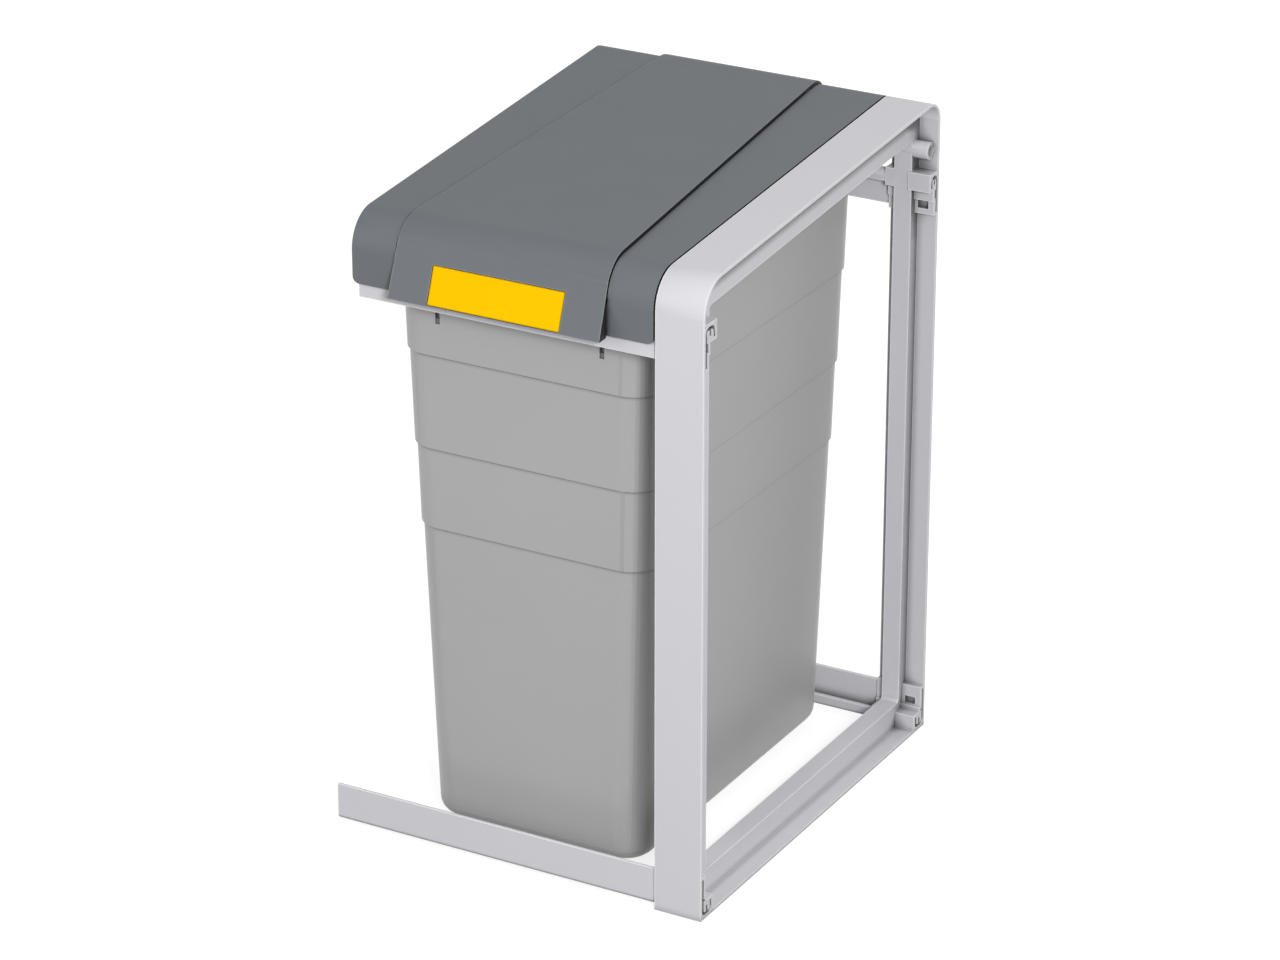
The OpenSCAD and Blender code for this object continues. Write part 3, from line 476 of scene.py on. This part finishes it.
@dataclass(frozen=True)
class Finish:
    """A surface finish: its colour, gloss and the grain that its mould or drawing leaves, with
    painted light and shade on the colour: an edge tone, crevice shade, overhang shade and side
    shades.
    """

    name: str
    colour: Tone
    edge_tone: Tone
    roughness: float = 0.45
    metallic: float = 0.0
    grain: Grain = Grain.SPARK
    grain_scale: float = 1800.0
    grain_height: float = 0.03
    tint_scale: float = 14.0
    tint_amount: float = 0.05
    edge_tone_amount: float = 0.35
    edge_tone_width: float = 0.8 * MM
    crevice_shade: Tone = (0.02, 0.02, 0.022)
    crevice_shade_reach: float = 4.0 * MM
    crevice_shade_start: float = 0.95
    crevice_shade_full: float = 0.4
    crevice_shade_amount: float = 0.5
    overhang_shade: float = 0.0
    overhang_shade_reach: float = 30.0 * MM
    shades: tuple[SideShade, ...] = ()
    lines: tuple[float, float, float] | None = None
    line_height: float = 0.02
    specular: float = 0.5

    def material(self) -> bpy.types.Material:
        """Builds the finish as a node material, once.

        Returns:
            The material.
        """
        found = bpy.data.materials.get(self.name)
        if found is not None:
            return found
        made = bpy.data.materials.new(self.name)
        made.use_nodes = True
        nodes, links = made.node_tree.nodes, made.node_tree.links
        shader = nodes["Principled BSDF"]
        shader.inputs["Metallic"].default_value = self.metallic
        shader.inputs["Specular IOR Level"].default_value = self.specular
        place = nodes.new("ShaderNodeTexCoord")
        drift = self._group(nodes, GROUPS.tint_drift())
        drift.inputs["Color"].default_value = (*self.colour, 1.0)
        drift.inputs["Scale"].default_value = self.tint_scale
        drift.inputs["Amount"].default_value = self.tint_amount
        links.new(place.outputs["Object"], drift.inputs["Vector"])
        # Painted edge tone: a highlight on most finishes, a shadow line on the label plate.
        edge = self._group(nodes, GROUPS.edge_light_and_shade())
        edge.inputs["Edge Tone"].default_value = (*self.edge_tone, 1.0)
        edge.inputs["Amount"].default_value = self.edge_tone_amount
        edge.inputs["Width"].default_value = self.edge_tone_width
        links.new(drift.outputs["Color"], edge.inputs["Color"])
        # Painted shade in crevices, gaps and corners.
        inner = self._group(nodes, GROUPS.crevice_shade())
        inner.inputs["Depth"].default_value = (*self.crevice_shade, 1.0)
        inner.inputs["Reach"].default_value = self.crevice_shade_reach
        inner.inputs["Start"].default_value = self.crevice_shade_start
        inner.inputs["Full"].default_value = self.crevice_shade_full
        inner.inputs["Amount"].default_value = self.crevice_shade_amount
        colour = edge.outputs["Color"]
        # Painted shade on side walls in narrow gaps.
        for shade in self.shades:
            colour = shade.link(nodes, links, place, colour)
        # Painted shade under overhangs.
        if self.overhang_shade > 0:
            above = self._group(nodes, GROUPS.overhang_shade())
            above.inputs["Depth"].default_value = (*self.crevice_shade, 1.0)
            above.inputs["Reach"].default_value = self.overhang_shade_reach
            above.inputs["Amount"].default_value = self.overhang_shade
            links.new(colour, above.inputs["Color"])
            colour = above.outputs["Color"]
        links.new(colour, inner.inputs["Color"])
        links.new(inner.outputs["Color"], shader.inputs["Base Color"])
        grain = self._group(nodes, GROUPS.grain(self.grain))
        grain.inputs["Scale"].default_value = self.grain_scale
        grain.inputs["Roughness"].default_value = self.roughness
        links.new(place.outputs["Object"], grain.inputs["Vector"])
        links.new(grain.outputs["Roughness"], shader.inputs["Roughness"])
        bump = nodes.new("ShaderNodeBump")
        bump.inputs["Distance"].default_value = BUMP_DEPTH
        bump.inputs["Strength"].default_value = self.grain_height
        links.new(grain.outputs["Height"], bump.inputs["Height"])
        last = bump
        if self.lines is not None:
            marks = self._group(nodes, GROUPS.draw_lines())
            marks.inputs["Stretch"].default_value = self.lines
            links.new(place.outputs["Object"], marks.inputs["Vector"])
            last = nodes.new("ShaderNodeBump")
            last.inputs["Distance"].default_value = BUMP_DEPTH
            last.inputs["Strength"].default_value = self.line_height
            links.new(marks.outputs["Height"], last.inputs["Height"])
            links.new(bump.outputs["Normal"], last.inputs["Normal"])
        links.new(last.outputs["Normal"], shader.inputs["Normal"])
        return made

    @staticmethod
    def _group(nodes: bpy.types.Nodes, tree: bpy.types.NodeTree) -> bpy.types.Node:
        """Places a node group in a material.

        Args:
            nodes: The material's nodes.
            tree: The group.

        Returns:
            Its node.
        """
        node = nodes.new("ShaderNodeGroup")
        node.node_tree = tree
        return node


# Tones of painted shade in the narrow seams beside the cover and flap, and on the lip's side
# cheeks.
SEAM_SHADE = (0.026, 0.028, 0.031)
CHEEK_SHADE = (0.022, 0.024, 0.028)
DARK_GREY = (0.141, 0.154, 0.167)
# Tone of painted shade in the dark mouldings' crevices and gaps.
DARK_SHADE = (0.006, 0.0065, 0.007)

# Places in metres that bound the painted shade. The cover's right wall lies beyond COVER_RIGHT,
# the flap's two side walls beyond FLAP_RIGHT and FLAP_LEFT, and the lip's cheeks in front of
# LIP_FRONT.
COVER_RIGHT = -0.0345
FLAP_RIGHT = -0.13
FLAP_LEFT = 0.258
LIP_FRONT = -0.2478

# Frame and bars: the light edge tone is a painted highlight on the edges, the crevice tone
# painted shade in channels, gaps and corners, and the overhang shade painted shade under the
# top band.
FRAME_PLASTIC = Finish(
    name="light_grey_moulding",
    colour=(0.61, 0.603, 0.635),
    edge_tone=(0.93, 0.92, 0.95),
    roughness=0.42,
    specular=0.35,
    grain_scale=1500.0,
    grain_height=0.05,
    tint_amount=0.03,
    edge_tone_amount=0.95,
    edge_tone_width=2.2 * MM,
    crevice_shade=(0.045, 0.043, 0.048),
    crevice_shade_reach=16.0 * MM,
    crevice_shade_start=0.76,
    crevice_shade_full=0.2,
    crevice_shade_amount=0.92,
    overhang_shade=0.85,
)
# Cover: its lighter edge tone is a painted highlight, and its crevice tone paints near-black
# shade in corners and in the gap at the frame.
COVER_PLASTIC = Finish(
    name="dark_grey_moulding",
    colour=DARK_GREY,
    edge_tone=(0.34, 0.355, 0.37),
    roughness=0.52,
    specular=0.2,
    grain_scale=1700.0,
    grain_height=0.08,
    tint_amount=0.04,
    edge_tone_amount=0.4,
    edge_tone_width=0.9 * MM,
    crevice_shade=DARK_SHADE,
    crevice_shade_reach=6.0 * MM,
    crevice_shade_amount=1.0,
    # Painted shade on the cover's right wall, in the gap against the frame.
    shades=(SideShade(tone=SEAM_SHADE, side=1.0, beyond=COVER_RIGHT, lean=0.4),),
)
# Flap: its lighter edge tone is a painted highlight, and its crevice tone paints near-black
# shade in corners and seams.
FLAP_PLASTIC = Finish(
    name="dark_grey_flap_moulding",
    colour=DARK_GREY,
    edge_tone=(0.46, 0.475, 0.49),
    roughness=0.50,
    specular=0.2,
    grain_scale=1700.0,
    grain_height=0.08,
    tint_amount=0.04,
    edge_tone_amount=0.6,
    edge_tone_width=1.5 * MM,
    crevice_shade=DARK_SHADE,
    crevice_shade_reach=6.0 * MM,
    crevice_shade_amount=1.0,
    # Painted shade on the flap's side walls in the seams, and on the lip's cheeks.
    shades=(
        SideShade(SEAM_SHADE, 1.0, FLAP_RIGHT),
        SideShade(SEAM_SHADE, -1.0, FLAP_LEFT),
        SideShade(CHEEK_SHADE, 1.0, FLAP_RIGHT, lean=0.95, front_y=LIP_FRONT),
        SideShade(CHEEK_SHADE, -1.0, FLAP_LEFT, lean=0.95, front_y=LIP_FRONT),
    ),
)
# Bucket: its crevice tone paints shadow lines under the ledges and shade next to the bars; its
# slightly lighter edge tone is a painted highlight.
BUCKET_PLASTIC = Finish(
    name="mid_grey_moulding",
    colour=(0.385, 0.385, 0.385),
    edge_tone=(0.50, 0.50, 0.50),
    roughness=0.34,
    specular=0.5,
    grain_scale=700.0,
    grain_height=0.14,
    tint_scale=9.0,
    tint_amount=0.05,
    edge_tone_amount=0.15,
    edge_tone_width=0.5 * MM,
    crevice_shade=(0.07, 0.07, 0.072),
    crevice_shade_reach=5.0 * MM,
    crevice_shade_full=0.72,
    crevice_shade_amount=0.72,
)
# Clamp, pins and buffers: their lighter edge tones are painted highlights, and the crevice tone
# paints shade in their corners.
CLAMP_PLASTIC = Finish(
    name="mid_grey_clamp_moulding",
    colour=(0.13, 0.13, 0.132),
    edge_tone=(0.20, 0.20, 0.20),
    roughness=0.48,
    grain=Grain.SATIN,
    grain_scale=1500.0,
    grain_height=0.08,
)
# Label plate: its dark edge tone is a painted shadow line round the plate, and its crevice tone
# painted shade in corners.
LABEL_PLASTIC = Finish(
    name="yellow_label_plate",
    colour=(0.93, 0.515, 0.0),
    edge_tone=(0.22, 0.13, 0.0),
    roughness=0.5,
    specular=0.02,
    grain=Grain.SMOOTH,
    grain_scale=600.0,
    grain_height=0.02,
    tint_amount=0.02,
    edge_tone_amount=0.95,
    edge_tone_width=2.2 * MM,
    crevice_shade=(0.30, 0.16, 0.0),
)
PIN_STEEL = Finish(
    name="drawn_pin_steel",
    colour=(0.56, 0.56, 0.58),
    edge_tone=(0.75, 0.75, 0.77),
    roughness=0.3,
    metallic=1.0,
    grain=Grain.SATIN,
    grain_scale=700.0,
    grain_height=0.03,
    lines=(0.02, 1.0, 1.0),
    line_height=0.08,
)
BUFFER_RUBBER = Finish(
    name="black_buffer_rubber",
    colour=(0.022, 0.022, 0.022),
    edge_tone=(0.06, 0.06, 0.06),
    roughness=0.75,
    grain=Grain.SATIN,
    grain_scale=1100.0,
    grain_height=0.12,
    specular=0.3,
)


def dress(name: str, finish: Finish, width: float = 0.0) -> None:
    """Gives a CAD node its finish, welds its triangles, merges those that lie flat and lightly
    breaks its edges.

    Args:
        name: The node's name.
        finish: The finish that it gets.
        width: Width of the broken edge, in metres, or 0 for none.
    """
    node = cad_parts[name]
    node.data.materials.clear()
    node.data.materials.append(finish.material())
    weld = node.modifiers.new("weld", "WELD")
    weld.merge_threshold = WELD_GAP
    flat = node.modifiers.new("flat_faces", "DECIMATE")
    flat.decimate_type = "DISSOLVE"
    flat.angle_limit = math.radians(FLAT_ANGLE)
    if width > 0:
        bevel = node.modifiers.new("broken_edge", "BEVEL")
        bevel.width = width
        bevel.segments = EDGE_SEGMENTS
        bevel.limit_method = "ANGLE"
        bevel.angle_limit = math.radians(EDGE_ANGLE)
        bevel.harden_normals = False
        bevel.use_clamp_overlap = True
    LOG.info("dressed %s in %s", name, finish.name)


@dataclass
class Stand:
    """The side frame with its four crossbars."""

    edge: float = 0.6 * MM
    bars: tuple[str, ...] = (
        "front_lower_crossbar",
        "rear_lower_crossbar",
        "front_upper_crossbar",
        "rear_upper_crossbar",
    )

    def build(self) -> None:
        """Dresses the frame and its bars."""
        dress("side_frame", FRAME_PLASTIC, self.edge)
        for name in self.bars:
            dress(name, FRAME_PLASTIC, self.edge)


@dataclass
class CoverGroup:
    """The cover with its pins and buffers."""

    edge: float = 0.4 * MM
    buffer_edge: float = 0.3 * MM
    pins: tuple[str, ...] = (
        "right_cover_pin",
        "left_cover_pin",
        "right_flap_pin",
        "left_flap_pin",
    )

    def build(self) -> None:
        """Dresses the cover, its pins and its buffers."""
        dress("cover", COVER_PLASTIC, self.edge)
        for name in self.pins:
            dress(name, PIN_STEEL)
        dress("cover_buffers", BUFFER_RUBBER, self.buffer_edge)


@dataclass
class FlapGroup:
    """The flap with its label plate."""

    edge: float = 0.4 * MM
    label_edge: float = 0.15 * MM

    def build(self) -> None:
        """Dresses the flap and its label plate."""
        dress("flap", FLAP_PLASTIC, self.edge)
        dress("label_strip", LABEL_PLASTIC, self.label_edge)


@dataclass
class BucketGroup:
    """The bucket with its bag clamp frame."""

    edge: float = 0.15 * MM
    clamp_edge: float = 0.3 * MM

    def build(self) -> None:
        """Dresses the bucket and the clamp frame."""
        dress("bucket", BUCKET_PLASTIC, self.edge)
        dress("bag_clamp_frame", CLAMP_PLASTIC, self.clamp_edge)


@dataclass(frozen=True)
class Lamp:
    """One large soft lamp: its place and target in metres, its side and its watts.

    A lamp that isn't glossy gives its light, but flat tops don't mirror it.
    """

    name: str
    place: tuple[float, float, float]
    size: float
    power: float
    target: tuple[float, float, float] = (0.0, 0.0, 0.4)
    glossy: bool = True

    def build(self) -> None:
        """Makes the lamp and turns it to its target."""
        data = bpy.data.lights.new(self.name, "AREA")
        data.size = self.size
        data.energy = self.power
        lamp = bpy.data.objects.new(self.name, data)
        lamp.location = self.place
        lamp.visible_glossy = self.glossy
        away = Vector(self.place) - Vector(self.target)
        lamp.rotation_euler = away.to_track_quat("Z", "Y").to_euler()
        bpy.context.scene.collection.objects.link(lamp)


@dataclass
class Studio:
    """Floor, lamps and the camera at the photograph's angle."""

    lens: float = 127.37
    sensor: float = 36.0
    sight: float = 100.0
    tilt: float = 66.45
    turn: float = 29.39
    place: tuple[float, float, float] = (1.8825, -3.6646, 2.1667)
    floor_half: float = 12.0
    floor_white: float = 0.80
    floor_tone: float = 0.34
    floor_bounce: float = 0.13
    floor_drop: float = 0.5 * MM
    sky: float = 0.5
    lamps: tuple[Lamp, ...] = (
        Lamp("key_lamp", (2.25, -2.85, 2.0), 0.9, 113.0, glossy=False),
        Lamp("left_lamp", (-3.0, -2.6, 1.3), 1.8, 40.0),
        Lamp("back_lamp", (0.6, 3.8, 1.4), 1.8, 60.0),
        Lamp("top_lamp", (0.0, 0.6, 3.6), 2.6, 1.5, target=(0.0, 0.0, 0.5)),
    )

    def build(self) -> None:
        """Makes the camera, the floor, the world and the lamps."""
        self.camera()
        self.floor()
        self.world()
        for lamp in self.lamps:
            lamp.build()

    def camera(self) -> None:
        """Makes the camera, fitted to the photograph's 1280 by 960 frame."""
        data = bpy.data.cameras.new("studio_camera")
        data.lens = self.lens
        data.sensor_width = self.sensor
        data.clip_end = self.sight
        camera = bpy.data.objects.new("studio_camera", data)
        camera.location = self.place
        camera.rotation_euler = Euler((math.radians(self.tilt), 0.0, math.radians(self.turn)))
        bpy.context.scene.collection.objects.link(camera)
        bpy.context.scene.camera = camera

    def floor(self) -> None:
        """Makes the pale floor, a little below the frame's base so the two don't touch."""
        mesh = bpy.data.meshes.new("studio_floor")
        bm = bmesh.new()
        bmesh.ops.create_grid(bm, x_segments=2, y_segments=2, size=self.floor_half)
        bmesh.ops.translate(bm, verts=bm.verts, vec=(0.0, 0.0, -self.floor_drop))
        bm.to_mesh(mesh)
        bm.free()
        floor = bpy.data.objects.new("studio_floor", mesh)
        bpy.context.scene.collection.objects.link(floor)
        mesh.materials.append(self.floor_paint())

    def floor_paint(self) -> bpy.types.Material:
        """Makes the floor's paint, which is white to the eye but for the object's shadow.

        Returns:
            The material.
        """
        made = bpy.data.materials.new("studio_floor_white")
        made.use_nodes = True
        nodes, links = made.node_tree.nodes, made.node_tree.links
        shader = nodes["Principled BSDF"]
        tone = nodes.new("ShaderNodeMix")
        tone.data_type = "RGBA"
        for side, value in (("A", self.floor_bounce), ("B", self.floor_tone)):
            tone.inputs[side].default_value = (value, value, value, 1.0)
        links.new(self.seen(nodes, links, 1.0), tone.inputs["Factor"])
        links.new(tone.outputs["Result"], shader.inputs["Base Color"])
        shader.inputs["Roughness"].default_value = 0.9
        shader.inputs["Specular IOR Level"].default_value = 0.1
        shader.inputs["Emission Color"].default_value = WHITE
        share = self.seen(nodes, links, self.floor_white)
        links.new(share, shader.inputs["Emission Strength"])
        return made

    @staticmethod
    def seen(
        nodes: bpy.types.Nodes, links: bpy.types.NodeLinks, share: float
    ) -> bpy.types.NodeSocket:
        """Gives a share where the eye looks, straight or by gloss or glass, and 0 elsewhere.

        Args:
            nodes: The tree's nodes.
            links: The tree's links.
            share: The value where the eye looks.

        Returns:
            The socket that carries it.
        """
        path = nodes.new("ShaderNodeLightPath")
        straight, gloss, glass = (
            path.outputs[f"Is {ray} Ray"] for ray in ("Camera", "Glossy", "Transmission")
        )
        first = combine(nodes, links, "MAXIMUM", straight, gloss)
        both = combine(nodes, links, "MAXIMUM", first, glass)
        return combine(nodes, links, "MULTIPLY", both, share)

    def world(self) -> None:
        """Makes the world an even soft light, and white to the camera."""
        world = bpy.data.worlds.new("studio_world")
        bpy.context.scene.world = world
        world.use_nodes = True
        nodes, links = world.node_tree.nodes, world.node_tree.links
        even = nodes["Background"]
        even.inputs["Color"].default_value = WHITE
        even.inputs["Strength"].default_value = self.sky
        white = nodes.new("ShaderNodeBackground")
        white.inputs["Color"].default_value = WHITE
        white.inputs["Strength"].default_value = 1.0
        mix = nodes.new("ShaderNodeMixShader")
        links.new(self.seen(nodes, links, 1.0), mix.inputs["Fac"])
        links.new(even.outputs["Background"], mix.inputs[1])
        links.new(white.outputs["Background"], mix.inputs[2])
        links.new(mix.outputs["Shader"], nodes["World Output"].inputs["Surface"])


def main() -> None:
    """Builds the object's looks and its studio."""
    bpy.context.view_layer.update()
    scene = bpy.context.scene
    scene.view_settings.view_transform = "Standard"
    for part in (Stand(), CoverGroup(), FlapGroup(), BucketGroup(), Studio()):
        part.build()


if __name__ == "__main__":
    main()
